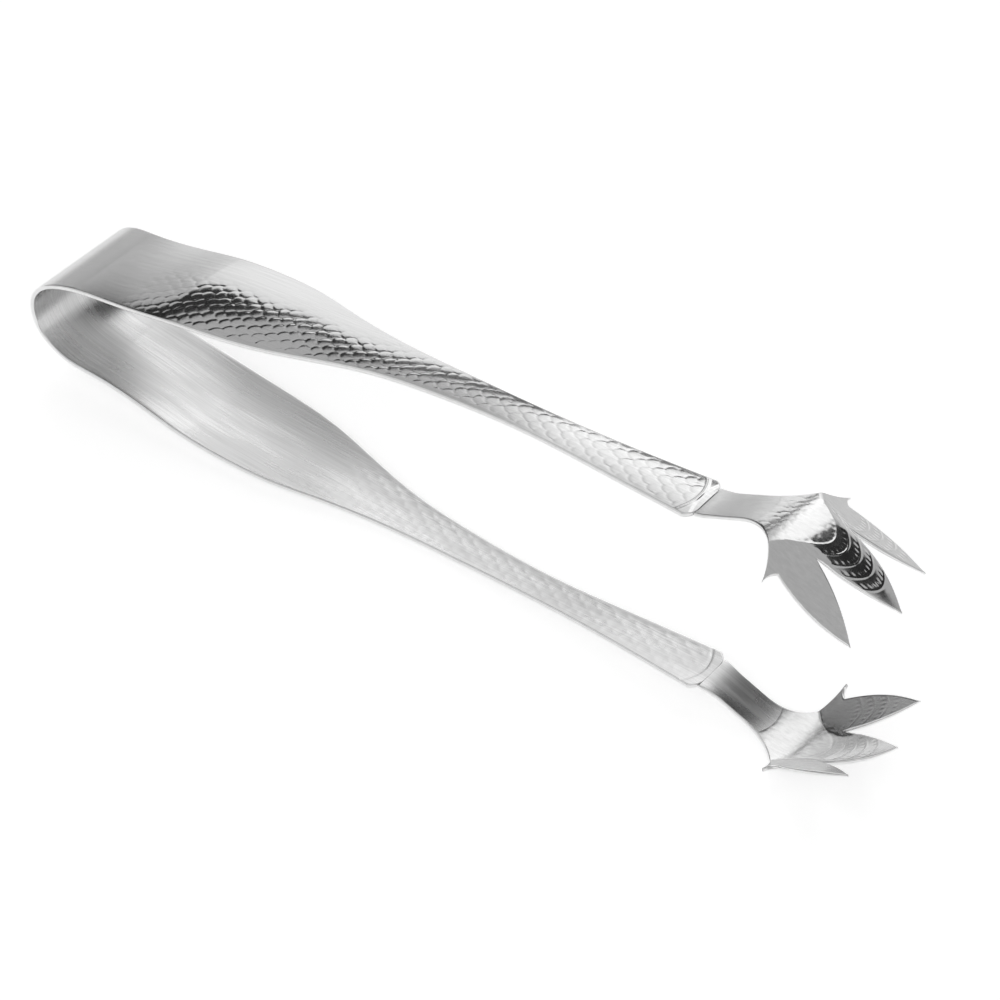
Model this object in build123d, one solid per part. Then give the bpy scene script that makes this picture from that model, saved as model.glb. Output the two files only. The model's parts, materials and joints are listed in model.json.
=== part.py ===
from build123d import *
import math
import os

# Ice tongs bent from one stamped strip of spring steel: a U-shaped bow, two arched handle
# arms, and on each arm a plain neck and a three-taloned claw. Millimetres.
# The drawing frame has its origin at the crown of the bow, the claws towards +X and the
# plane between the two arms at Z = 0. The finished pieces are then laid down as the tongs
# rest: on the lower arm's belly and the lower claw's palm, with the lowest point at Z = 0.

THICKNESS = 0.85
ARM_ROOT_X = 12.0
ARM_END_X = 141.5
PALM_LINE_X = 152.7
CLAW_TIP_X = 177.2
ROOT_GAP = 0.3
DOME_RADIUS = 48.0
CLAW_DOME_RADIUS = 21.0
DOME_START_X = 12.0
DOME_FULL_X = 34.0
CLAW_HALF_SPAN = 13.0
NECK_HALF_WIDTH = 3.5
ARM_CORNER_RADIUS = 1.0

# Edge of the strip from the crown to the handle's end: (distance from the crown, half
# width, height above the middle plane).
ARM_EDGE = [
    (0.3, 10.7, 0.0),
    (1.15, 10.7, 3.55),
    (3.55, 10.6, 6.35),
    (7.4, 10.4, 8.3),
    (12.3, 10.0, 9.3),
    (18.0, 9.9, 10.0),
    (25.0, 10.1, 11.05),
    (33.0, 10.3, 12.5),
    (43.0, 10.1, 13.75),
    (53.0, 9.2, 14.65),
    (63.0, 7.1, 15.5),
    (75.0, 4.8, 16.75),
    (91.0, 3.5, 17.85),
    (107.0, 3.1, 18.3),
    (123.0, 3.7, 18.2),
    (141.5, 4.9, 18.3),
]

# Crest of the neck and claw: (distance from the crown, height above the middle plane).
CLAW_CREST = [
    (141.5, 18.55),
    (144.0, 19.2),
    (147.5, 20.6),
    (152.7, 22.6),
    (156.0, 23.4),
    (159.5, 23.6),
    (164.4, 22.3),
    (170.0, 19.5),
    (174.4, 16.5),
    (178.5, 13.1),
]

# Plan of one side of the claw, in plan coordinates (X, Y): each talon edge is an arc.
NECK_CORNER = (150.0, 3.5)
PALM_FLARE_MIDDLE = (157.2, 6.5)
BARB_TIP = (159.8, 11.8)
BARB_BACK_MIDDLE = (160.2, 10.4)
BARB_NOTCH = (161.2, 9.4)
OUTER_TALON_OUTSIDE = (168.0, 10.6)
OUTER_TALON_TIP = (174.4, 9.8)
OUTER_TALON_INSIDE = (170.2, 6.6)
TALON_NOTCH = (164.4, 4.1)
MIDDLE_TALON_SIDE = (171.2, 3.1)
MIDDLE_TALON_TIP = (CLAW_TIP_X, 0.0)


def dome_height(x, half_width):
    """Rise of the strip's crest above its edges, growing from the flat bow to the arm."""
    growth = min(max((x - DOME_START_X) / (DOME_FULL_X - DOME_START_X), 0.02), 1.0)
    return growth * half_width**2 / (2 * DOME_RADIUS)


def mirrored(points):
    """The edge of the whole strip: lower arm, bow, upper arm."""
    lower = [(x, half_width, -z) for x, half_width, z in reversed(points[1:])]
    return lower + points


def crest_line(points, start_direction):
    """Crest of the neck and claw, leaving the arm in the arm's own direction."""
    crest = [Vector(x, 0, z) for x, z in points]
    return Spline(*crest, tangents=[start_direction, crest[-1] - crest[-2]])


STRIP_EDGE = Spline(*mirrored(ARM_EDGE))
ARM_END_DIRECTION = STRIP_EDGE.tangent_at(1.0)
CREST_LINE = crest_line(CLAW_CREST, Vector(ARM_END_DIRECTION.X, 0, ARM_END_DIRECTION.Z))


def fraction_at(curve, x, low):
    """Fraction of the curve's length, above low, where it reaches the distance x."""
    high = 1.0
    for _ in range(40):
        middle = (low + high) / 2
        if curve.position_at(middle).X < x:
            low = middle
        else:
            high = middle
    return high


def cross_section(centre, direction, half_width, dome):
    """Outline across the strip: an arch of even thickness, bulging away from the middle plane."""
    plane = Plane(
        origin=(centre.X, 0, centre.Z),
        x_dir=(0, 1, 0),
        z_dir=(direction.X, 0, direction.Z),
    )
    skin = THICKNESS / 2
    outer = ThreePointArc((-half_width, skin - dome), (0, skin), (half_width, skin - dome))
    inner = ThreePointArc((half_width, -skin - dome), (0, -skin), (-half_width, -skin - dome))
    return plane * Wire([outer, Line(outer @ 1, inner @ 0), inner, Line(inner @ 1, outer @ 0)])


def strip_section(fraction):
    """Cross-section of the bow or arm at a fraction of the whole strip's length."""
    edge = STRIP_EDGE.position_at(fraction)
    direction = STRIP_EDGE.tangent_at(fraction)
    dome = dome_height(edge.X, edge.Y)
    length = math.hypot(direction.X, direction.Z)
    outward = Vector(-direction.Z / length, 0, direction.X / length)
    return cross_section(edge + outward * dome, direction, edge.Y, dome)


def strip_piece(first, last, sections):
    """Solid between two fractions of the strip's length."""
    steps = [first + (last - first) * i / (sections - 1) for i in range(sections)]
    return Solid.make_loft([strip_section(step) for step in steps])


def crest_piece(first, last, sections, half_width, dome_radius):
    """Solid of even width along the crest line of the neck and claw."""
    dome = half_width**2 / (2 * dome_radius)
    wires = []
    for i in range(sections):
        fraction = first + (last - first) * i / (sections - 1)
        centre = CREST_LINE.position_at(fraction)
        direction = CREST_LINE.tangent_at(fraction)
        wires.append(cross_section(centre, direction, half_width, dome))
    return Solid.make_loft(wires)


def claw_plan():
    """Flat outline of the claw: neck end, barbs and three talons."""
    side = [
        Line((NECK_CORNER[0], 0), NECK_CORNER),
        ThreePointArc(NECK_CORNER, PALM_FLARE_MIDDLE, BARB_TIP),
        ThreePointArc(BARB_TIP, BARB_BACK_MIDDLE, BARB_NOTCH),
        ThreePointArc(BARB_NOTCH, OUTER_TALON_OUTSIDE, OUTER_TALON_TIP),
        ThreePointArc(OUTER_TALON_TIP, OUTER_TALON_INSIDE, TALON_NOTCH),
        ThreePointArc(TALON_NOTCH, MIDDLE_TALON_SIDE, MIDDLE_TALON_TIP),
    ]
    other_side = [edge.mirror(Plane.XZ) for edge in side]
    return Face(Wire(side + other_side))


def make_bow():
    root = fraction_at(STRIP_EDGE, ARM_ROOT_X - ROOT_GAP / 2, 0.5)
    return strip_piece(1 - root, root, 17)


def make_arm():
    root = fraction_at(STRIP_EDGE, ARM_ROOT_X + ROOT_GAP / 2, 0.5)
    arm = strip_piece(root, 1.0, 27)
    end_corners = arm.edges().filter_by(
        lambda edge: edge.center().X > ARM_END_X - 1 and edge.length < 1.5 * THICKNESS
    )
    return arm.fillet(ARM_CORNER_RADIUS, end_corners)


def make_neck():
    palm = fraction_at(CREST_LINE, PALM_LINE_X, 0.0)
    return crest_piece(0.0, palm, 6, NECK_HALF_WIDTH, CLAW_DOME_RADIUS)


def make_claw():
    palm = fraction_at(CREST_LINE, PALM_LINE_X, 0.0)
    shell = crest_piece(palm, 1.0, 12, CLAW_HALF_SPAN, CLAW_DOME_RADIUS)
    plan = Solid.extrude(claw_plan(), Vector(0, 0, 40))
    return (shell & plan).solid()


def rest_pitch():
    """Angle in degrees that lays the belly and the palm on one level surface."""
    palm = max((CREST_LINE.position_at(i / 100) for i in range(101)), key=lambda point: point.Z)
    angles = []
    for i in range(50, 96):
        edge = STRIP_EDGE.position_at(i / 100)
        crest = edge.Z + dome_height(edge.X, edge.Y)
        angles.append(math.degrees(math.atan2(palm.Z - crest, palm.X - edge.X)))
    return min(angles)


def make_tongs():
    """Every piece, named, resting on Z = 0 with the middle of its bounding box above the origin."""
    half = {"arm": make_arm(), "neck": make_neck(), "claw": make_claw()}
    pieces = {"bow": make_bow()}
    for name, solid in half.items():
        pieces["upper_" + name] = solid
        pieces["lower_" + name] = solid.mirror(Plane.XY)
    lay_down = Rot(0, -rest_pitch(), 0)
    pieces = {name: lay_down * solid for name, solid in pieces.items()}
    box = Compound(list(pieces.values())).bounding_box()
    shift = Pos(-box.center().X, 0, -box.min.Z)
    return {name: shift * solid for name, solid in pieces.items()}


os.makedirs("parts", exist_ok=True)
for node, piece in make_tongs().items():
    export_step(piece, "parts/" + node + ".step")
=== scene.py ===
import json
import math

import bmesh
import bpy
import numpy as np
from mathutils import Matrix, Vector


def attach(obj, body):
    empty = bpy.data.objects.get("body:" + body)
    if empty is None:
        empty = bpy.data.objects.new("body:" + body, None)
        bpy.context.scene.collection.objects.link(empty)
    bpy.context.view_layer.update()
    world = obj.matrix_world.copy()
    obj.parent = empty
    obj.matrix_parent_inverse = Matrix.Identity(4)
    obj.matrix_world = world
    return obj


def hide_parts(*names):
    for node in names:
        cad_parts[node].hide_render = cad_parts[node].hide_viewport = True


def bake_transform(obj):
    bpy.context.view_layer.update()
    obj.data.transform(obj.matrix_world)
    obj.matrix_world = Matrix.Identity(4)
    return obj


# Visual model of one-piece claw ice tongs: a U-shaped bow, two domed handle arms with stamped
# scales, and on each arm a plain neck and a three-taloned claw.
# Shapes are worked out in millimetres in a drawing frame with its origin at the crown of the
# bow, the claws towards +X and the two arms mirrored about Z = 0, and are then laid in the
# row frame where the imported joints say.

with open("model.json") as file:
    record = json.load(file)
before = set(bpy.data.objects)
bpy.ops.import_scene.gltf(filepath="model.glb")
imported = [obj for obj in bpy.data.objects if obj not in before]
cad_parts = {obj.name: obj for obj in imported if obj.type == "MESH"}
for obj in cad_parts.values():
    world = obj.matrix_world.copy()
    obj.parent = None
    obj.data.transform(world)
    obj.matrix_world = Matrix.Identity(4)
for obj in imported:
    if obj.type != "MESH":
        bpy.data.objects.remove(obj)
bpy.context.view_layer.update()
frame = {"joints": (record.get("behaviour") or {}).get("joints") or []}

# ---------------------------------------------------------------- driving dimensions (mm)

ARM_ROOT = 12.0
ARM_END = 141.5
PALM_LINE = 152.7

ARM_OUTER = 0.425
ARM_INNER = -0.425
NECK_OUTER = 0.22
NECK_INNER = -0.425
CLAW_OUTER = 0.28
CLAW_INNER = -0.42
TIP_THINNING = 0.45
TIP_THINNING_LENGTH = 6.0
EDGE_RADIUS = 0.28

# The strip is flat across at the bow and domed by the handle.
DOME_RADIUS = 48.0
DOME_START = 12.0
DOME_FULL = 34.0
LEAST_DOME = 0.02

# Edge of the strip: distance from the crown, half width, height above the middle plane.
ARM_EDGE = [
    (0.3, 10.7, 0.0),
    (1.15, 10.7, 3.55),
    (3.55, 10.6, 6.35),
    (7.4, 10.4, 8.3),
    (12.3, 10.0, 9.3),
    (18.0, 9.9, 10.0),
    (25.0, 10.1, 11.05),
    (33.0, 10.3, 12.5),
    (43.0, 10.1, 13.75),
    (53.0, 9.2, 14.65),
    (63.0, 7.1, 15.5),
    (75.0, 4.8, 16.75),
    (91.0, 3.5, 17.85),
    (107.0, 3.1, 18.3),
    (123.0, 3.7, 18.2),
    (141.5, 4.9, 18.3),
]

# Crest of the neck and claw: distance from the crown, height above the middle plane.
CLAW_CREST = [
    (138.0, 18.5),
    (141.5, 18.55),
    (144.0, 19.2),
    (147.5, 20.6),
    (152.7, 22.6),
    (156.0, 23.4),
    (159.5, 23.6),
    (164.4, 22.3),
    (170.0, 19.5),
    (174.4, 16.5),
    (178.5, 13.1),
]

# Rounded end of the handle, its small step down, and the raised line just before it. The step
# and the line are bowed across the strip by their sweeps.
SHOULDER_RADIUS = 2.6
SHOULDER_HALF_WIDTH = 2.4
END_INSET = 0.1
END_DROP = 0.07
END_DROP_LENGTH = 0.5
END_SWEEP = 0.045
END_HOLLOW = 0.9
BEAD_CREST = 140.0
BEAD_SWEEP = 0.080
BEAD_WIDTH = 0.20
BEAD_HEIGHT = 0.09
BEAD_IMPRINT = 0.07

# Stamped scales on the handles. They start gradually after the bow, are softer towards the
# handle's end, and are faded on the +Y half of the wide part of the handle.
SCALE_ROW = 1.9
SCALE_COLUMN = 2.2
SCALE_START = 25.0
SCALE_START_FADE = 4.0
SCALE_JITTER = 0.10
SCALE_DEPTH = 0.020
SCALE_TILT = 0.022
SCALE_PILLOW = 0.016
GROOVE_WIDTH = 0.20
SOFTER_FROM = 65.0
SOFTER_TO = 105.0
SOFTENING = 0.60
SIDE_FADE = 0.85
SIDE_FADE_FROM = -0.5
SIDE_FADE_TO = 3.0
IMPRINT_DEPTH = 0.015
IMPRINT_START = 55.0
IMPRINT_FULL = 75.0

# Plan of the claw.
NECK_HALF_WIDTH = 3.35
NECK_ROOT_HALF_WIDTH = 3.7
NECK_ROOT_LENGTH = 4.0
NECK_OVERLAP = 0.02
NECK_THINNING_LENGTH = 6.0
NECK_CORNER = (150.0, NECK_HALF_WIDTH)
PALM_FLARE_MIDDLE = (157.1, 6.3)
BARB_TIP = (159.8, 11.8)
BARB_BACK_MIDDLE = (160.2, 10.4)
BARB_NOTCH = (161.2, 9.4)
OUTER_TALON_OUTSIDE = (168.0, 10.6)
OUTER_TALON_TIP = (174.8, 10.0)
OUTER_TALON_INSIDE = (170.2, 6.6)
TALON_NOTCH = (164.4, 4.1)
MIDDLE_TALON_SIDE = (171.2, 3.1)
MIDDLE_TALON_TIP = (177.2, 0.0)

# Surface of the claw: a nearly flat palm, and on each side a flat flank that carries the barb
# and the outer talon. The flank passes FLANK_HEIGHT above the middle plane at the notch.
PALM_RADIUS = 110.0
FLANK_HEIGHT = 21.75
FLANK_FALL = 0.482
FLANK_TILT = 0.535
FOLD_SOFTNESS = 0.12
MIDDLE_TALON_RADIUS = 14.0
MIDDLE_DOME_START = 164.0
MIDDLE_DOME_FULL = 168.5
PALM_LINE_BULGE = 0.9
PALM_LINE_BULGE_LENGTH = 2.6

# Small scales of the palm, and the slight rise of the palm behind its line.
PALM_SCALE_ROW = 1.55
PALM_SCALE_COLUMN = 1.75
PALM_SCALE_JITTER = 0.28
PALM_GROOVE_WIDTH = 0.2
PALM_SCALE_DEPTH = 0.010
PALM_SCALE_TILT = 0.005
PALM_SCALE_PILLOW = 0.005
PALM_SCALES_HALF_WIDTH = 6.5
PALM_SCALES_END = 164.0
PALM_LINE_HALF_WIDTH = 3.6
PALM_LINE_WIDTH = 0.35
PALM_RISE = 0.025
PALM_RISE_START = 154.5
PALM_RISE_END = 156.0

# Rings across the talons, with short lines behind each.
TALON_RING_START = 162.55
TALON_RING_PITCH = 2.15
TALON_RING_RADIUS = 2.4
TALON_RING_DEPTH = 0.06
RING_LIP_WIDTH = 0.18
RING_SWELL = 0.35
RING_TICK_DEPTH = 0.45
RING_TICK_MIDDLE = 0.68
RING_TICK_LENGTH = 0.16
RING_TICK_FREQUENCY = 8.4
OUTER_RING_STRENGTH = 0.5
OUTER_TALON_ROOT = (163.5, 7.0)
PALM_TALON_BORDER = 5.0


# ---------------------------------------------------------------- curves and small functions


def natural_spline(points):
    """Smooth curve through points: its knots, and a function from chord length to (place, slope)."""
    points = np.array(points, float)
    steps = np.linalg.norm(np.diff(points, axis=0), axis=1)
    knots = np.concatenate([[0.0], np.cumsum(steps)])
    count = len(points)
    matrix = np.eye(count)
    target = np.zeros_like(points)
    for i in range(1, count - 1):
        matrix[i, i - 1 : i + 2] = steps[i - 1], 2 * (steps[i - 1] + steps[i]), steps[i]
        rise = (points[i + 1] - points[i]) / steps[i] - (points[i] - points[i - 1]) / steps[i - 1]
        target[i] = 6 * rise
    bend = np.linalg.solve(matrix, target)

    def curve(at):
        at = np.asarray(at, float)
        i = np.clip(np.searchsorted(knots, at) - 1, 0, count - 2)
        step = steps[i][:, None]
        b = (at - knots[i])[:, None] / step
        a = 1 - b
        place = a * points[i] + b * points[i + 1]
        place = place + ((a**3 - a) * bend[i] + (b**3 - b) * bend[i + 1]) * step**2 / 6
        slope = (points[i + 1] - points[i]) / step
        slope = slope + ((3 * b**2 - 1) * bend[i + 1] - (3 * a**2 - 1) * bend[i]) * step / 6
        return place, slope

    return knots, curve


def height_curve(points):
    """Smooth height as a function of x through (x, height) points."""
    knots, curve = natural_spline(points)
    place, _ = curve(np.linspace(0, knots[-1], 600))
    return lambda x: np.interp(x, place[:, 0], place[:, 1])


def arc_through(first, middle, last):
    """Circular arc through three plan points, as y for each x."""
    (ax, ay), (bx, by), (cx, cy) = first, middle, last
    double = 2 * (ax * (by - cy) + bx * (cy - ay) + cx * (ay - by))
    a2, b2, c2 = ax * ax + ay * ay, bx * bx + by * by, cx * cx + cy * cy
    ox = (a2 * (by - cy) + b2 * (cy - ay) + c2 * (ay - by)) / double
    oy = (a2 * (cx - bx) + b2 * (ax - cx) + c2 * (bx - ax)) / double
    radius = math.hypot(ax - ox, ay - oy)
    side = 1.0 if by > oy else -1.0
    return lambda x: oy + side * np.sqrt(np.maximum(radius**2 - (x - ox) ** 2, 0.0))


def smooth_step(value, low, high):
    """0 below low, 1 above high, and smooth between."""
    t = np.clip((value - low) / (high - low), 0.0, 1.0)
    return t * t * (3 - 2 * t)


def scatter(row, column, seed):
    """Repeatable number from -1 to 1 for a cell."""
    value = np.sin(row * 12.9898 + column * 78.233 + seed * 37.719) * 43758.5453
    return 2 * (value - np.floor(value)) - 1


# Shape of one scale: its radii as shares of the lattice's pitches, and how much it varies.
SCALE_LENGTH_BY_ROW = 0.66
SCALE_LENGTH_BY_COLUMN = 0.28
SCALE_WIDTH_BY_COLUMN = 0.53
SCALE_CENTRE_OFFSET = 0.35
SCALE_SIZE_JITTER = 0.35
SCALE_LEAN = 0.5
FAR_FROM_ANY_EDGE = 9.0


def scale_relief(along, across, row_pitch, column_pitch, jitter, groove):
    """Stamped scales: groove (0 in a groove, 1 on a scale), signed tilt, and pillow (0 to 1).

    Staggered rows of rounded scales. Each row lies over the one before it, like roof tiles, so
    the arcs that show bulge towards smaller along, and each scale is highest at its arc.
    """
    first_row = np.floor(along / row_pitch)
    nearest_edge = np.full(np.shape(along), FAR_FROM_ANY_EDGE)
    pillow = np.zeros(np.shape(along))
    tilt = np.zeros(np.shape(along))
    covered = np.zeros(np.shape(along), bool)
    length_radius = SCALE_LENGTH_BY_ROW * row_pitch + SCALE_LENGTH_BY_COLUMN * column_pitch
    width_radius = SCALE_WIDTH_BY_COLUMN * column_pitch
    for ahead in (2, 1, 0, -1):
        row = first_row + ahead
        shift = 0.5 * np.mod(row, 2)
        column = np.round(across / column_pitch - shift)
        centre_along = (row + jitter * scatter(row, column, 1)) * row_pitch
        centre_along = centre_along + SCALE_CENTRE_OFFSET * row_pitch
        centre_across = (column + shift + jitter * scatter(row, column, 2)) * column_pitch
        size = 1 + SCALE_SIZE_JITTER * jitter * scatter(row, column, 3)
        distance = np.hypot(
            (along - centre_along) / (length_radius * size),
            (across - centre_across) / (width_radius * size),
        )
        inside = distance < 1
        to_edge = np.abs(1 - distance) * width_radius
        nearest_edge = np.where(covered, nearest_edge, np.minimum(nearest_edge, to_edge))
        shows = inside & ~covered
        lean = SCALE_LEAN * scatter(row, column, 4)
        pillow = np.where(shows, 1 - distance**2, pillow)
        slope = (centre_along - along) / row_pitch + lean * (across - centre_across)
        tilt = np.where(shows, slope, tilt)
        covered = covered | inside
    return 1 - np.exp(-((nearest_edge / groove) ** 2)), tilt, pillow


# ---------------------------------------------------------------- drawing frame to row frame


def joint_place(name):
    """Pivot of a packed joint, in metres."""
    joint = next(j for j in frame["joints"] if j["name"] == name)
    return Vector(joint["pos_m"])


upper_pivot = joint_place("upper_arm_flex")
lower_pivot = joint_place("lower_arm_flex")
across_gap = upper_pivot - lower_pivot
pitch = math.atan2(-across_gap.x, across_gap.z)
arm_root_middle = (upper_pivot + lower_pivot) / 2


def to_row(points):
    """Drawing-frame points in mm, laid in the row frame in metres."""
    points = np.asarray(points, float) / 1000
    x = points[:, 0] - ARM_ROOT / 1000
    z = points[:, 2]
    placed = np.empty_like(points)
    placed[:, 0] = arm_root_middle.x + x * math.cos(pitch) - z * math.sin(pitch)
    placed[:, 1] = points[:, 1]
    placed[:, 2] = arm_root_middle.z + x * math.sin(pitch) + z * math.cos(pitch)
    return placed


# ---------------------------------------------------------------- meshes from cross-sections


# Points of the quarter circle between a face and an edge.
EDGE_POINTS = 5


def section_loop(low, high, outer, inner, radius_low, radius_high, outer_count, inner_count):
    """Points round cross-sections: (across, depth, face) arrays of shape (stations, loop).

    low and high are the two edges across, outer and inner the depths of the two faces, each
    one number per station. face is 0 outside, 1 on an edge and 2 inside, for each loop point.
    """
    quarter = np.linspace(0, math.pi / 2, EDGE_POINTS)
    ones = np.ones_like(low)
    middle = (outer + inner) / 2
    half = (outer - inner) / 2
    across, depth, face = [], [], []

    def add(y, e, kind):
        across.append(y)
        depth.append(e)
        face.append(kind)

    for u in np.linspace(0, 1, outer_count):
        add(low + radius_low + u * (high - radius_high - low - radius_low), outer, 0)
    for angle in quarter[1:]:
        lift = np.minimum(radius_high, half)
        add(high - radius_high * (1 - math.sin(angle)), outer - lift * (1 - math.cos(angle)), 1)
    add(high * ones, middle, 1)
    for angle in quarter[::-1][:-1]:
        lift = np.minimum(radius_high, half)
        add(high - radius_high * (1 - math.sin(angle)), inner + lift * (1 - math.cos(angle)), 1)
    for u in np.linspace(1, 0, inner_count):
        add(low + radius_low + u * (high - radius_high - low - radius_low), inner, 2)
    for angle in quarter[1:]:
        lift = np.minimum(radius_low, half)
        add(low + radius_low * (1 - math.sin(angle)), inner + lift * (1 - math.cos(angle)), 1)
    add(low * ones, middle, 1)
    for angle in quarter[::-1][:-1]:
        lift = np.minimum(radius_low, half)
        add(low + radius_low * (1 - math.sin(angle)), outer - lift * (1 - math.cos(angle)), 1)
    return np.array(across).T, np.array(depth).T, np.array(face)


def grid_faces(stations, loop, offset):
    """Quads of a closed-loop grid, facing outwards, and each quad's place in the loop."""
    faces, places = [], []
    for i in range(stations - 1):
        for j in range(loop):
            k = (j + 1) % loop
            a, b = offset + i * loop + j, offset + i * loop + k
            faces.append((a, a + loop, b + loop, b))
            places.append((i, j))
    return faces, places


def build_piece(name, points, faces, kinds, materials, mirror):
    """Mesh object from drawing-frame points; kinds picks each face's material."""
    points = np.array(points, float)
    if mirror:
        points[:, 2] *= -1
        faces = [face[::-1] for face in faces]
    mesh = bpy.data.meshes.new(name)
    mesh.from_pydata(to_row(points).tolist(), [], faces)
    for material in materials:
        mesh.materials.append(material)
    mesh.polygons.foreach_set("material_index", np.array(kinds, np.int32))
    mesh.polygons.foreach_set("use_smooth", np.ones(len(faces), bool))
    work = bmesh.new()
    work.from_mesh(mesh)
    bmesh.ops.remove_doubles(work, verts=work.verts, dist=2e-6)
    bmesh.ops.dissolve_degenerate(work, edges=work.edges, dist=1e-6)
    loose = [vertex for vertex in work.verts if not vertex.link_faces]
    bmesh.ops.delete(work, geom=loose, context="VERTS")
    close_ends(work)
    work.to_mesh(mesh)
    work.free()
    piece = bpy.data.objects.new(name, mesh)
    bpy.context.scene.collection.objects.link(piece)
    return piece


def close_ends(work):
    """Caps the open end rings, with a sharp edge so that the sides stay smooth."""
    open_edges = [edge for edge in work.edges if edge.is_boundary]
    if not open_edges:
        return
    made = bmesh.ops.holes_fill(work, edges=open_edges, sides=0)
    for edge in open_edges:
        edge.smooth = False
    for face in made["faces"]:
        face.material_index = 1
        face.smooth = False


# ---------------------------------------------------------------- bow and arms

whole_edge = [(x, h, -z) for x, h, z in reversed(ARM_EDGE[1:])] + ARM_EDGE
edge_knots, edge_curve = natural_spline(whole_edge)


def edge_distance_at(x):
    """Chord length along the whole strip's edge where its upper half reaches x."""
    lengths = np.linspace(edge_knots[len(ARM_EDGE) - 1], edge_knots[-1], 4000)
    place, _ = edge_curve(lengths)
    return float(np.interp(x, place[:, 0], lengths))


def strip_surface(lengths):
    """Edge place, unit outward direction, half width and dome height at chord lengths."""
    place, slope = edge_curve(lengths)
    x, half_width, z = place[:, 0], place[:, 1], place[:, 2]
    run = np.hypot(slope[:, 0], slope[:, 2])
    outward = np.stack([-slope[:, 2] / run, slope[:, 0] / run], axis=1)
    growth = np.clip((x - DOME_START) / (DOME_FULL - DOME_START), LEAST_DOME, 1.0)
    dome = growth * half_width**2 / (2 * DOME_RADIUS)
    return x, z, outward, half_width, dome


def strip_points(x, z, outward, half_width, dome, across, depth):
    """Drawing-frame points of a strip section grid."""
    fraction = across / half_width[:, None]
    crown = dome[:, None] * (1 - fraction**2)
    tilt = 2 * dome[:, None] * across / half_width[:, None] ** 2
    norm = np.sqrt(1 + tilt**2)
    lift = crown + depth / norm
    y = across + depth * tilt / norm
    px = x[:, None] + lift * outward[:, 0:1]
    pz = z[:, None] + lift * outward[:, 1:2]
    return np.stack([px, y, pz], axis=2).reshape(-1, 3)


# Mesh stations along each piece, and points across its outer and inner face.
BOW_STATIONS = 181
BOW_POINTS = 61
ARM_STATIONS = 560
ARM_CORNER_STATIONS = 26
ARM_OUTER_POINTS = 101
ARM_INNER_POINTS = 41
NECK_STATIONS = 90
NECK_POINTS = 41
CLAW_OUTER_POINTS = 41
CLAW_INNER_POINTS = 31


def make_bow(materials):
    """The spring: a plain U, flat across."""
    middle = edge_knots[len(ARM_EDGE) - 1]
    reach = edge_distance_at(ARM_ROOT) - middle
    lengths = np.linspace(middle - reach, middle + reach, BOW_STATIONS)
    x, z, outward, half_width, dome = strip_surface(lengths)
    count = len(lengths)
    radius = np.full(count, EDGE_RADIUS)
    outer = np.full(count, ARM_OUTER)
    inner = np.full(count, ARM_INNER)
    across, depth, face = section_loop(
        -half_width, half_width, outer, inner, radius, radius, BOW_POINTS, BOW_POINTS
    )
    points = strip_points(x, z, outward, half_width, dome, across, depth)
    faces, places = grid_faces(count, across.shape[1], 0)
    kinds = [face_kind(face, j) for _, j in places]
    return build_piece("bow_spring", points, faces, kinds, materials, False)


def face_kind(face, j):
    """Material of the quad between loop points j and j + 1."""
    following = face[(j + 1) % len(face)]
    return int(face[j]) if face[j] == following else 1


def arm_relief(x, across, half_width):
    """Outer height of the handle above its smooth surface."""
    groove, tilt, pillow = scale_relief(
        x, across, SCALE_ROW, SCALE_COLUMN, SCALE_JITTER, GROOVE_WIDTH
    )
    bead_line = BEAD_CREST - BEAD_SWEEP * across**2
    margin = half_width - np.abs(across)
    fade = smooth_step(x, SCALE_START - SCALE_START_FADE, SCALE_START + SCALE_START_FADE)
    fade = fade * smooth_step(bead_line - x, 0.4, 1.2) * smooth_step(margin, 0.35, 1.1)
    fade = fade * (1 - SOFTENING * smooth_step(x, SOFTER_FROM, SOFTER_TO))
    faded = smooth_step(across, SIDE_FADE_FROM, SIDE_FADE_TO) * (1 - smooth_step(x, SOFTER_FROM, SOFTER_TO))
    fade = fade * (1 - SIDE_FADE * faded)
    scales = fade * (SCALE_DEPTH * (groove - 1) + SCALE_TILT * tilt + SCALE_PILLOW * pillow)
    bead = BEAD_HEIGHT * np.exp(-(((x - bead_line) / BEAD_WIDTH) ** 2))
    bead = bead * smooth_step(margin, 0.1, 0.6)
    end_line = ARM_END - END_INSET - END_HOLLOW + END_SWEEP * across**2
    end = END_DROP * smooth_step(x, end_line - END_DROP_LENGTH, end_line)
    return scales + bead - end


def arm_imprint(x, across, half_width):
    """Faint imprint of the scales and of the raised line on the handle's inside."""
    groove, _, pillow = scale_relief(
        x, across, SCALE_ROW, SCALE_COLUMN, SCALE_JITTER, 2 * GROOVE_WIDTH
    )
    faint = smooth_step(x, IMPRINT_START, IMPRINT_FULL)
    faint = faint * smooth_step(BEAD_CREST - x, 1.0, 2.0)
    faint = faint * smooth_step(half_width - np.abs(across), 0.4, 1.2)
    bead_line = BEAD_CREST - BEAD_SWEEP * across**2
    line = BEAD_IMPRINT * np.exp(-(((x - bead_line) / BEAD_WIDTH) ** 2))
    return faint * IMPRINT_DEPTH * (groove + pillow) + line


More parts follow.
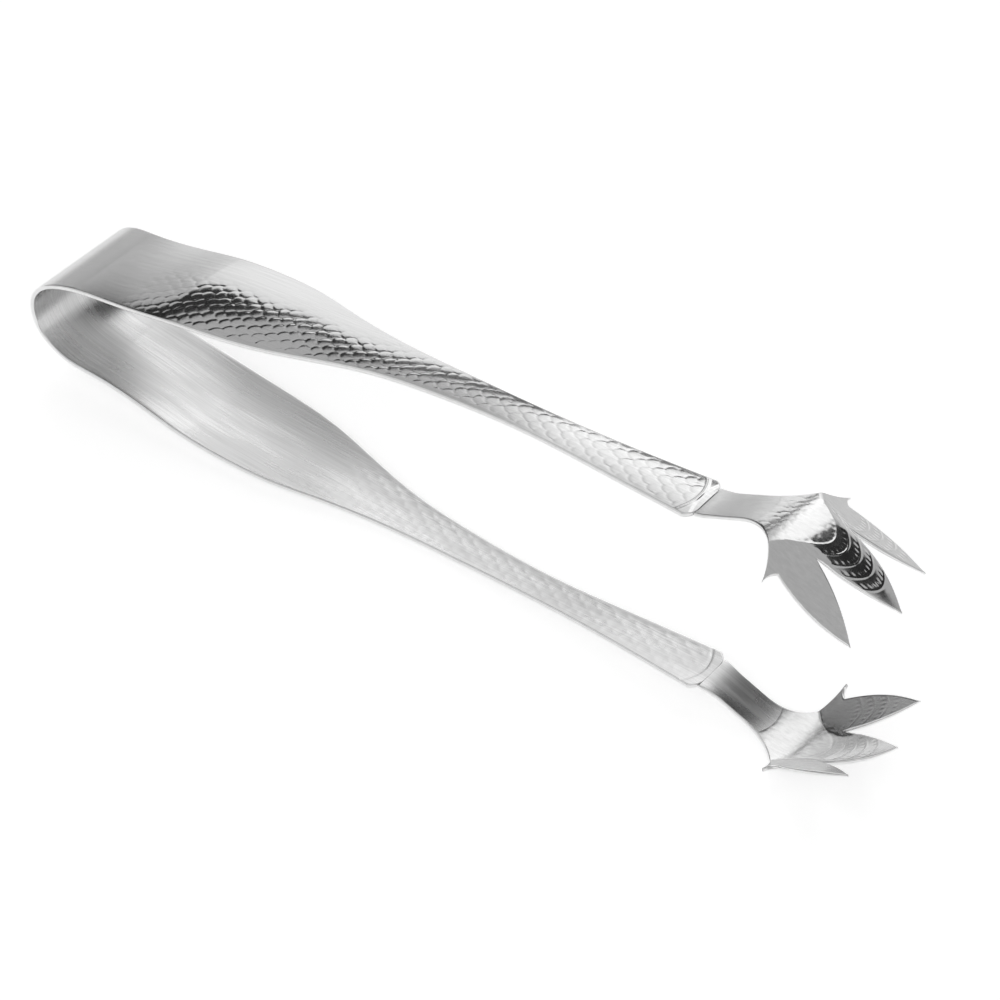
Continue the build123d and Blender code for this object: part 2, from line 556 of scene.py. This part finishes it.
def make_arm(name, mirror, materials):
    """A handle arm with its scales outside and their faint imprint inside."""
    first = edge_distance_at(ARM_ROOT)
    last = edge_distance_at(ARM_END)
    turn = edge_distance_at(ARM_END - SHOULDER_RADIUS)
    body = np.linspace(first, turn, ARM_STATIONS, endpoint=False)
    corner = turn + (last - turn) * np.sin(np.linspace(0, math.pi / 2, ARM_CORNER_STATIONS))
    lengths = np.concatenate([body, corner])
    x, z, outward, half_width, dome = strip_surface(lengths)
    into_corner = np.clip(x - (ARM_END - SHOULDER_RADIUS), 0, SHOULDER_RADIUS)
    rounded = SHOULDER_HALF_WIDTH + np.sqrt(SHOULDER_RADIUS**2 - into_corner**2)
    edge = np.where(into_corner > 0, np.minimum(half_width, rounded), half_width)
    count = len(lengths)
    radius = np.full(count, EDGE_RADIUS)
    outer = np.full(count, ARM_OUTER)
    inner = np.full(count, ARM_INNER)
    across, depth, face = section_loop(
        -edge, edge, outer, inner, radius, radius, ARM_OUTER_POINTS, ARM_INNER_POINTS
    )
    grid_x = np.repeat(x[:, None], across.shape[1], axis=1)
    grid_edge = np.repeat(edge[:, None], across.shape[1], axis=1)
    outer_part = (face == 0)[None, :] | ((face == 1)[None, :] & (depth > 0))
    relief = arm_relief(grid_x, across, grid_edge)
    depth = depth + np.where(outer_part, relief, 0.0)
    depth = depth + np.where((face == 2)[None, :], arm_imprint(grid_x, across, grid_edge), 0.0)
    points = strip_points(x, z, outward, half_width, dome, across, depth)
    faces, places = grid_faces(count, across.shape[1], 0)
    kinds = [face_kind(face, j) for _, j in places]
    return build_piece(name, points, faces, kinds, materials, mirror)


# ---------------------------------------------------------------- neck and claw

crest_height = height_curve(CLAW_CREST)
palm_flare = arc_through(NECK_CORNER, PALM_FLARE_MIDDLE, BARB_TIP)
barb_back = arc_through(BARB_TIP, BARB_BACK_MIDDLE, BARB_NOTCH)
outer_talon_outside = arc_through(BARB_NOTCH, OUTER_TALON_OUTSIDE, OUTER_TALON_TIP)
outer_talon_inside = arc_through(OUTER_TALON_TIP, OUTER_TALON_INSIDE, TALON_NOTCH)
middle_talon_side = arc_through(TALON_NOTCH, MIDDLE_TALON_SIDE, MIDDLE_TALON_TIP)


def claw_height(x, y):
    """Height of the neck's and claw's middle surface above the middle plane."""
    wide = np.abs(y)
    middle = smooth_step(x, MIDDLE_DOME_START, MIDDLE_DOME_FULL)
    near = np.minimum(wide, TALON_NOTCH[1])
    palm = crest_height(x) - y**2 / (2 * PALM_RADIUS)
    palm = palm - middle * near**2 / (2 * MIDDLE_TALON_RADIUS)
    flank = FLANK_HEIGHT - FLANK_FALL * (x - TALON_NOTCH[0])
    flank = flank - FLANK_TILT * (wide - TALON_NOTCH[1])
    return 0.5 * (palm + flank - np.sqrt((palm - flank) ** 2 + FOLD_SOFTNESS**2))


def claw_points(x, y, depth):
    """Drawing-frame points at a depth along the middle surface's normal."""
    step = 0.02
    z = claw_height(x, y)
    slope_x = (claw_height(x + step, y) - claw_height(x - step, y)) / (2 * step)
    slope_y = (claw_height(x, y + step) - claw_height(x, y - step)) / (2 * step)
    norm = np.sqrt(1 + slope_x**2 + slope_y**2)
    px = x - depth * slope_x / norm
    py = y - depth * slope_y / norm
    pz = z + depth / norm
    return np.stack([px, py, pz], axis=2).reshape(-1, 3)


def bulged(x, y, half_width):
    """Stations bowed towards the talons near the line where the palm begins."""
    nearness = np.exp(-(((x - PALM_LINE) / PALM_LINE_BULGE_LENGTH) ** 2))
    start = smooth_step(x, ARM_END, ARM_END + 3)
    return x + PALM_LINE_BULGE * nearness * start * (1 - np.clip(y / half_width, -1, 1) ** 2)


def make_neck(name, mirror, materials):
    """The plain flat neck between the handle and the palm."""
    x = np.linspace(ARM_END - NECK_OVERLAP, PALM_LINE, NECK_STATIONS)
    root = smooth_step(x, ARM_END, ARM_END + NECK_ROOT_LENGTH)
    edge = NECK_ROOT_HALF_WIDTH + (NECK_HALF_WIDTH - NECK_ROOT_HALF_WIDTH) * root
    edge = np.where(x > NECK_CORNER[0], palm_flare(x), edge)
    count = len(x)
    radius = np.full(count, EDGE_RADIUS)
    outer = np.full(count, NECK_OUTER)
    inner = np.full(count, NECK_INNER)
    across, depth, face = section_loop(
        -edge, edge, outer, inner, radius, radius, NECK_POINTS, NECK_POINTS
    )
    grid_x = np.repeat(x[:, None], across.shape[1], axis=1)
    towards_palm = smooth_step(grid_x, PALM_LINE - NECK_THINNING_LENGTH, PALM_LINE)
    change = np.where(depth > 0, CLAW_OUTER - NECK_OUTER, CLAW_INNER - NECK_INNER)
    depth = depth + towards_palm * change
    grid_x = bulged(grid_x, across, edge[:, None])
    points = claw_points(grid_x, across, depth)
    faces, places = grid_faces(count, across.shape[1], 0)
    kinds = [face_kind(face, j) for _, j in places]
    return build_piece(name, points, faces, kinds, materials, mirror)


def claw_stations():
    """Stations along the claw, closer together at the barb and at the tips."""
    spans = [
        (PALM_LINE, 159.0, 34),
        (159.0, BARB_TIP[0], 16),
        (BARB_TIP[0], BARB_NOTCH[0], 18),
        (BARB_NOTCH[0], TALON_NOTCH[0], 20),
        (TALON_NOTCH[0], 173.4, 100),
        (173.4, OUTER_TALON_TIP[0], 14),
        (OUTER_TALON_TIP[0], 176.6, 14),
        (176.6, MIDDLE_TALON_TIP[0], 10),
    ]
    stations = [np.linspace(low, high, count, endpoint=False) for low, high, count in spans]
    return np.concatenate(stations + [[MIDDLE_TALON_TIP[0]]])


def claw_half_width(x):
    """Outermost half width of the palm, barb and outer talon."""
    palm = np.where(x <= BARB_TIP[0], palm_flare(x), barb_back(x))
    return np.where(x <= BARB_NOTCH[0], palm, outer_talon_outside(x))


def palm_relief(x, y):
    """Irregular small scales of the palm."""
    groove, tilt, pillow = scale_relief(
        x - 0.35 * y,
        y + 0.2 * x,
        PALM_SCALE_ROW,
        PALM_SCALE_COLUMN,
        PALM_SCALE_JITTER,
        PALM_GROOVE_WIDTH,
    )
    palm_line = bulged(np.full_like(x, PALM_LINE), y, PALM_LINE_HALF_WIDTH)
    start = smooth_step(x - palm_line, 0.0, PALM_LINE_WIDTH)
    fade = start * (1 - smooth_step(x, PALM_SCALES_END - 2.0, PALM_SCALES_END))
    fade = fade * (1 - smooth_step(np.abs(y), PALM_SCALES_HALF_WIDTH - 1.7, PALM_SCALES_HALF_WIDTH))
    rise = PALM_RISE * start * (1 - smooth_step(x, PALM_RISE_START, PALM_RISE_END))
    scales = PALM_SCALE_DEPTH * (groove - 1) + PALM_SCALE_TILT * tilt + PALM_SCALE_PILLOW * pillow
    return fade * scales + rise


def talon_relief(x, y):
    """Rings across each talon, bowed towards its tip, with short lines behind each ring."""
    wide = np.abs(y)
    gap_middle = (outer_talon_inside(x) + middle_talon_side(x)) / 2
    between = np.where(x > TALON_NOTCH[0], gap_middle, PALM_TALON_BORDER)
    outer = wide > between
    root_x, root_y = OUTER_TALON_ROOT
    lean = math.atan2(OUTER_TALON_TIP[1] - root_y, OUTER_TALON_TIP[0] - root_x)
    along_outer = (x - root_x) * math.cos(lean) + (wide - root_y) * math.sin(lean)
    across_outer = (wide - root_y) * math.cos(lean) - (x - root_x) * math.sin(lean)
    along = np.where(outer, along_outer, x - TALON_RING_START)
    across = np.where(outer, across_outer, y)
    ring = (along + across**2 / (2 * TALON_RING_RADIUS)) / TALON_RING_PITCH
    from_ring = (ring - np.round(ring)) * TALON_RING_PITCH
    phase = ring - np.floor(ring)
    lip = np.exp(-((from_ring / RING_LIP_WIDTH) ** 2))
    swell = 0.5 * np.sin(math.pi * phase)
    ticks = np.exp(-(((phase - RING_TICK_MIDDLE) / RING_TICK_LENGTH) ** 2))
    ticks = ticks * np.sin(across * RING_TICK_FREQUENCY + 1.3 * np.floor(ring))
    first = np.where(outer, smooth_step(along, 0.2, 0.9), smooth_step(ring, 0.6, 0.9))
    last = np.where(outer, 1 - smooth_step(along, 7.0, 9.0), 1 - smooth_step(ring, 5.1, 5.5))
    strength = np.where(outer, OUTER_RING_STRENGTH, 1.0)
    shape = lip + RING_SWELL * swell + RING_TICK_DEPTH * ticks
    return TALON_RING_DEPTH * first * last * strength * shape


# The lanes of the claw start this far from the middle at the palm line. Each rounded edge of a
# lane is EDGE_QUADS quads of its loop, left out where two lanes join.
LANE_START = 1.4
EDGE_QUADS = 2 * (EDGE_POINTS - 1) + 2
TIP_RADIUS_SHARE = 0.35
NOTCH_OPENING = 0.25
INNER_RELIEF = 0.6
CLOSE = 1e-9


def make_claw(name, mirror, materials):
    """Palm, barbs and talons: three lanes of quads that part at the notches between talons."""
    x = claw_stations()
    notch = TALON_NOTCH[0]
    wide = claw_half_width(x)
    parting = LANE_START + (TALON_NOTCH[1] - LANE_START) * smooth_step(x, PALM_LINE, notch)
    inside = np.where(x <= notch, parting, outer_talon_inside(x))
    middle = np.where(x <= notch, parting, middle_talon_side(x))
    lanes = [
        (-wide, -inside, True, False, x <= OUTER_TALON_TIP[0] + CLOSE),
        (-middle, middle, False, False, np.ones(len(x), bool)),
        (inside, wide, False, True, x <= OUTER_TALON_TIP[0] + CLOSE),
    ]
    points, faces, kinds = [], [], []
    offset = 0
    high_edge = CLAW_OUTER_POINTS - 1
    for low, high, low_free, high_free, used in lanes:
        sx, low, high = x[used], low[used], high[used]
        past = sx > notch - CLOSE
        full = np.minimum(EDGE_RADIUS, TIP_RADIUS_SHARE * np.maximum(high - low, 0))
        opened = np.minimum(full, NOTCH_OPENING * np.clip(sx - notch, 0, None))
        radius_low = full if low_free else opened
        radius_high = full if high_free else opened
        thin = 1 - TIP_THINNING * smooth_step(sx, sx[-1] - TIP_THINNING_LENGTH, sx[-1])
        outer = CLAW_OUTER * thin
        inner = CLAW_INNER * thin
        across, depth, face = section_loop(
            low, high, outer, inner, radius_low, radius_high, CLAW_OUTER_POINTS, CLAW_INNER_POINTS
        )
        grid_x = np.repeat(sx[:, None], across.shape[1], axis=1)
        grid_x = bulged(grid_x, across, np.interp(sx, x, wide)[:, None])
        relief = palm_relief(grid_x, across) + talon_relief(grid_x, across)
        edge_gap = np.minimum(
            np.where((low_free | past)[:, None], across - low[:, None], FAR_FROM_ANY_EDGE),
            np.where((high_free | past)[:, None], high[:, None] - across, FAR_FROM_ANY_EDGE),
        )
        relief = relief * smooth_step(edge_gap, 0.12, 0.5)
        depth = depth + np.where(face == 0, relief, np.where(face == 2, INNER_RELIEF * relief, 0.0))
        points.append(claw_points(grid_x, across, depth))
        loop = across.shape[1]
        lane_faces, places = grid_faces(len(sx), loop, offset)
        for quad, (i, j) in zip(lane_faces, places):
            kind = face_kind(face, j)
            if kind == 1:
                at_high = high_edge <= j < high_edge + EDGE_QUADS
                free = high_free if at_high else low_free
                if not free and not (past[i] and past[i + 1]):
                    continue
            faces.append(quad)
            kinds.append(kind)
        offset += len(sx) * loop
    return build_piece(name, np.concatenate(points), faces, kinds, materials, mirror)


# ---------------------------------------------------------------- materials

# Where the satin of the bow gives way to the polish of the handle: row-frame X in metres.
SATIN_END = -0.074
SHINE_START = -0.058

# Noise repeats per metre along (x, y, z), and levels of detail.
BRUSH_LINES = ((90, 5200, 90), 3.0)
BRUSH_CLOUD = ((60, 420, 60), 2.0)
POLISH_CLOUD = ((260, 260, 260), 4.0)
POLISH_GRAIN = ((700, 2600, 700), 3.0)
# Nearly all of a noise's values lie between these.
NOISE_LOW = 0.3
NOISE_HIGH = 0.7
BRUSH_DEPTH = 0.00002
GRAIN_DEPTH = 0.00001
GRAIN_STRENGTH = 0.15
SATIN_STREAKS = 0.4
SHINE_STREAKS = 0.08


def new_material(name, colour, roughness):
    """Metal with its shader; returns (material, nodes, links, shader)."""
    material = bpy.data.materials.new(name)
    material.use_nodes = True
    nodes = material.node_tree.nodes
    links = material.node_tree.links
    shader = nodes["Principled BSDF"]
    shader.inputs["Metallic"].default_value = 1.0
    shader.inputs["Base Color"].default_value = (colour, colour, colour, 1)
    shader.inputs["Roughness"].default_value = roughness
    return material, nodes, links, shader


def noise_texture(nodes, links, noise_kind):
    """Noise in the row frame, stretched by its own (x, y, z) scale."""
    stretch, detail = noise_kind
    place = nodes.new("ShaderNodeTexCoord")
    mapping = nodes.new("ShaderNodeMapping")
    mapping.inputs["Scale"].default_value = stretch
    noise = nodes.new("ShaderNodeTexNoise")
    noise.inputs["Scale"].default_value = 1.0
    noise.inputs["Detail"].default_value = detail
    links.new(place.outputs["Object"], mapping.inputs["Vector"])
    links.new(mapping.outputs["Vector"], noise.inputs["Vector"])
    return noise


def ranged(nodes, links, source, low, high):
    """The noise spread evenly between low and high."""
    spread = nodes.new("ShaderNodeMapRange")
    spread.inputs["From Min"].default_value = NOISE_LOW
    spread.inputs["From Max"].default_value = NOISE_HIGH
    spread.inputs["To Min"].default_value = low
    spread.inputs["To Max"].default_value = high
    links.new(source.outputs["Fac"], spread.inputs["Value"])
    return spread


def toned(nodes, links, shader, source, dark, light):
    """Colours the shader between two greys by a noise."""
    tone = nodes.new("ShaderNodeMix")
    tone.data_type = "RGBA"
    tone.inputs["A"].default_value = (dark, dark, dark, 1)
    tone.inputs["B"].default_value = (light, light, light, 1)
    shade = ranged(nodes, links, source, 0.0, 1.0)
    links.new(shade.outputs["Result"], tone.inputs["Factor"])
    links.new(tone.outputs["Result"], shader.inputs["Base Color"])


def bumped(nodes, links, shader, source, strength, depth):
    """Fine surface relief from a noise; returns the bump node."""
    bump = nodes.new("ShaderNodeBump")
    bump.inputs["Strength"].default_value = strength
    bump.inputs["Distance"].default_value = depth
    links.new(source.outputs["Fac"], bump.inputs["Height"])
    links.new(bump.outputs["Normal"], shader.inputs["Normal"])
    return bump


def brushed_steel(name, colour, roughness, streaks):
    """Satin steel with fine brush lines along the strip."""
    material, nodes, links, shader = new_material(name, colour, roughness)
    lines = noise_texture(nodes, links, BRUSH_LINES)
    cloud = noise_texture(nodes, links, BRUSH_CLOUD)
    rough = ranged(nodes, links, cloud, roughness - 0.06, roughness + 0.06)
    links.new(rough.outputs["Result"], shader.inputs["Roughness"])
    toned(nodes, links, shader, lines, colour * 0.86, colour * 1.06)
    bumped(nodes, links, shader, lines, streaks, BRUSH_DEPTH)
    return material


def handle_steel(name, colour, satin_roughness, shine_roughness):
    """Brushed satin round the bow that turns smoothly to polished where the scales begin."""
    material, nodes, links, shader = new_material(name, colour, satin_roughness)
    place = nodes.new("ShaderNodeTexCoord")
    split = nodes.new("ShaderNodeSeparateXYZ")
    links.new(place.outputs["Object"], split.inputs["Vector"])
    lines = noise_texture(nodes, links, BRUSH_LINES)
    toned(nodes, links, shader, lines, colour * 0.93, colour * 1.04)
    bump = bumped(nodes, links, shader, lines, SATIN_STREAKS, BRUSH_DEPTH)
    changes = [
        (satin_roughness, shine_roughness, shader.inputs["Roughness"]),
        (SATIN_STREAKS, SHINE_STREAKS, bump.inputs["Strength"]),
    ]
    for at_bow, at_scales, socket in changes:
        change = nodes.new("ShaderNodeMapRange")
        change.interpolation_type = "SMOOTHSTEP"
        change.inputs["From Min"].default_value = SATIN_END
        change.inputs["From Max"].default_value = SHINE_START
        change.inputs["To Min"].default_value = at_bow
        change.inputs["To Max"].default_value = at_scales
        links.new(split.outputs["X"], change.inputs["Value"])
        links.new(change.outputs["Result"], socket)
    return material


def polished_steel(name, colour, roughness):
    """Polished steel with a fine grain and clouding."""
    material, nodes, links, shader = new_material(name, colour, roughness)
    cloud = noise_texture(nodes, links, POLISH_CLOUD)
    rough = ranged(nodes, links, cloud, roughness - 0.04, roughness + 0.06)
    links.new(rough.outputs["Result"], shader.inputs["Roughness"])
    grain = noise_texture(nodes, links, POLISH_GRAIN)
    toned(nodes, links, shader, grain, colour * 0.94, colour * 1.03)
    bumped(nodes, links, shader, grain, GRAIN_STRENGTH, GRAIN_DEPTH)
    return material


PAPER_ROUGHNESS = 0.9


def plain_backdrop(name, colour, glow):
    """Matte studio paper, with a little light of its own."""
    material = bpy.data.materials.new(name)
    material.use_nodes = True
    shader = material.node_tree.nodes["Principled BSDF"]
    shader.inputs["Base Color"].default_value = (colour, colour, colour, 1)
    shader.inputs["Roughness"].default_value = PAPER_ROUGHNESS
    shader.inputs["Emission Color"].default_value = (1, 1, 1, 1)
    shader.inputs["Emission Strength"].default_value = glow
    return material


# ---------------------------------------------------------------- assembly

hammered = handle_steel("hammered_steel", 0.64, 0.26, 0.11)
# The rounded edges and end caps are the same steel as the faces, but their lighter grey (0.74 against 0.62
# to 0.64) is a painted highlight along the rims.
painted_highlight_edge_steel = polished_steel("painted_highlight_edge_steel", 0.74, 0.14)
brushed_inside = brushed_steel("brushed_inside", 0.62, 0.28, 0.4)
scale_steel = polished_steel("scale_steel", 0.64, 0.13)
plain_steel = polished_steel("plain_steel", 0.62, 0.20)

bow = make_bow([hammered, painted_highlight_edge_steel, brushed_inside])
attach(bow, "bow")
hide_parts("bow")

# Length from each handle's root, and the heights of its two ends from the middle plane. The ends are laid
# in the row frame below but are not used further.
BLEND_LENGTH = 26.0
BLEND_START_HEIGHT = 9.3
BLEND_END_HEIGHT = 13.2

for side, mirror, sign in (("upper", False, 1), ("lower", True, -1)):
    body = side + "_arm"
    arm = make_arm(side + "_handle", mirror, [hammered, painted_highlight_edge_steel, brushed_inside])
    blend_start = (ARM_ROOT, 0, BLEND_START_HEIGHT * sign)
    blend_end = (ARM_ROOT + BLEND_LENGTH, 0, BLEND_END_HEIGHT * sign)
    ends = to_row([blend_start, blend_end])
    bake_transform(arm)
    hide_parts(side + "_arm")
    neck = make_neck(side + "_neck_strip", mirror, [plain_steel, painted_highlight_edge_steel, brushed_inside])
    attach(neck, body)
    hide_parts(side + "_neck")
    claw = make_claw(side + "_talons", mirror, [scale_steel, painted_highlight_edge_steel, plain_steel])
    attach(claw, body)
    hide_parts(side + "_claw")

# ---------------------------------------------------------------- studio


def plane_object(name, size_x, size_y, place, rotation, material):
    """Flat rectangle."""
    mesh = bpy.data.meshes.new(name)
    half_x, half_y = size_x / 2, size_y / 2
    corners = [(-half_x, -half_y, 0), (half_x, -half_y, 0), (half_x, half_y, 0), (-half_x, half_y, 0)]
    mesh.from_pydata(corners, [], [(0, 1, 2, 3)])
    mesh.materials.append(material)
    board = bpy.data.objects.new(name, mesh)
    board.location = place
    board.rotation_euler = rotation
    bpy.context.scene.collection.objects.link(board)
    return board


def area_light(name, place, aim, size_x, size_y, power):
    """Soft rectangular light aimed at a point."""
    data = bpy.data.lights.new(name, "AREA")
    data.shape = "RECTANGLE"
    data.size = size_x
    data.size_y = size_y
    data.energy = power
    lamp = bpy.data.objects.new(name, data)
    lamp.location = place
    lamp.rotation_euler = (Vector(aim) - Vector(place)).to_track_quat("-Z", "Y").to_euler()
    bpy.context.scene.collection.objects.link(lamp)
    return lamp


def direction(azimuth, elevation):
    """Unit vector towards the viewer's side: azimuth 0 is -Y, 90 is +X."""
    a, e = math.radians(azimuth), math.radians(elevation)
    return Vector((math.sin(a) * math.cos(e), -math.cos(a) * math.cos(e), math.sin(e)))


FLOOR_SIZE = 12.0

paper = plain_backdrop("paper", 0.93, 0.42)
plane_object("floor", FLOOR_SIZE, FLOOR_SIZE, (0, 0, 0), (0, 0, 0), paper)

# Soft glow of the studio: azimuth, elevation, angles from the middle where the glow is full
# and where it ends, in degrees, and brightness above the room's own.
ROOM_BRIGHTNESS = 0.58
GLOWS = [
    (-145, 18, 7, 25, 0.65),
    (178, 10, 10, 20, 0.22),
    (-155, 46, 9, 21, 0.90),
    (118, 10, 8, 20, 0.45),
]


def studio_world():
    """White room with soft round glows, smooth from full brightness to none."""
    world = bpy.data.worlds.new("studio")
    world.use_nodes = True
    nodes = world.node_tree.nodes
    links = world.node_tree.links
    background = nodes["Background"]
    background.inputs["Color"].default_value = (1, 1, 1, 1)
    place = nodes.new("ShaderNodeTexCoord")
    total = None
    for azimuth, elevation, full, end, brightness in GLOWS:
        facing = nodes.new("ShaderNodeVectorMath")
        facing.operation = "DOT_PRODUCT"
        facing.inputs[1].default_value = direction(azimuth, elevation)
        links.new(place.outputs["Generated"], facing.inputs[0])
        glow = nodes.new("ShaderNodeMapRange")
        glow.interpolation_type = "SMOOTHSTEP"
        glow.inputs["From Min"].default_value = math.cos(math.radians(end))
        glow.inputs["From Max"].default_value = math.cos(math.radians(full))
        glow.inputs["To Min"].default_value = 0.0
        glow.inputs["To Max"].default_value = brightness
        links.new(facing.outputs["Value"], glow.inputs["Value"])
        add = nodes.new("ShaderNodeMath")
        add.operation = "ADD"
        add.inputs[1].default_value = ROOM_BRIGHTNESS
        if total is not None:
            links.new(total.outputs["Value"], add.inputs[1])
        links.new(glow.outputs["Result"], add.inputs[0])
        total = add
    links.new(total.outputs["Value"], background.inputs["Strength"])
    return world


bpy.context.scene.world = studio_world()

STUDIO_RADIUS = 3.0
FLAG_RADIUS = 2.6
# Power that gives an area light a brightness of 1, per square metre.
POWER_PER_AREA = 4

# Studio lights round the tongs: azimuth, elevation, width and height in degrees, brightness.
SOFTBOXES = [
    ("front", 30, 36, 60, 34, 0.40),
    ("front_left", -45, 36, 44, 34, 0.30),
]
# Black panels that show only in reflections: azimuth, elevation, width and height in degrees.
DARK_FLAGS = [
    ("flag_left", -101, 22, 17, 22),
    ("flag_middle", -118, 28, 16, 11),
    ("flag_gap", -129, 31, 29, 4),
    ("flag_right", 150, 49.5, 34, 28),
]


def panel_size(radius, angle):
    """Length that spans an angle in degrees at a distance."""
    return 2 * radius * math.tan(math.radians(angle) / 2)


for name, azimuth, elevation, width, height, brightness in SOFTBOXES:
    size_x, size_y = panel_size(STUDIO_RADIUS, width), panel_size(STUDIO_RADIUS, height)
    place = direction(azimuth, elevation) * STUDIO_RADIUS
    power = brightness * POWER_PER_AREA * size_x * size_y
    area_light(name, place, (0, 0, 0), size_x, size_y, power)

black = plain_backdrop("black_flag", 0.01, 0.0)
for name, azimuth, elevation, width, height in DARK_FLAGS:
    towards = direction(azimuth, elevation)
    size_x, size_y = panel_size(FLAG_RADIUS, width), panel_size(FLAG_RADIUS, height)
    facing = towards.to_track_quat("Z", "Y").to_euler()
    flag = plane_object(name, size_x, size_y, towards * FLAG_RADIUS, facing, black)
    flag.visible_camera = False

CAMERA_AZIMUTH = 38.875
CAMERA_ELEVATION = 43.782
CAMERA_DISTANCE = 0.5334
CAMERA_AIM = Vector((0.00971, 0, 0.01678))
CAMERA_FOCAL = 3.234
SENSOR = 36.0

camera_data = bpy.data.cameras.new("camera")
camera_data.sensor_width = SENSOR
camera_data.lens = CAMERA_FOCAL * SENSOR
camera = bpy.data.objects.new("camera", camera_data)
back = direction(CAMERA_AZIMUTH, CAMERA_ELEVATION)
camera.location = CAMERA_AIM + back * CAMERA_DISTANCE
camera.rotation_euler = back.to_track_quat("Z", "Y").to_euler()
bpy.context.scene.collection.objects.link(camera)
bpy.context.scene.camera = camera
bpy.context.scene.view_settings.view_transform = "Standard"
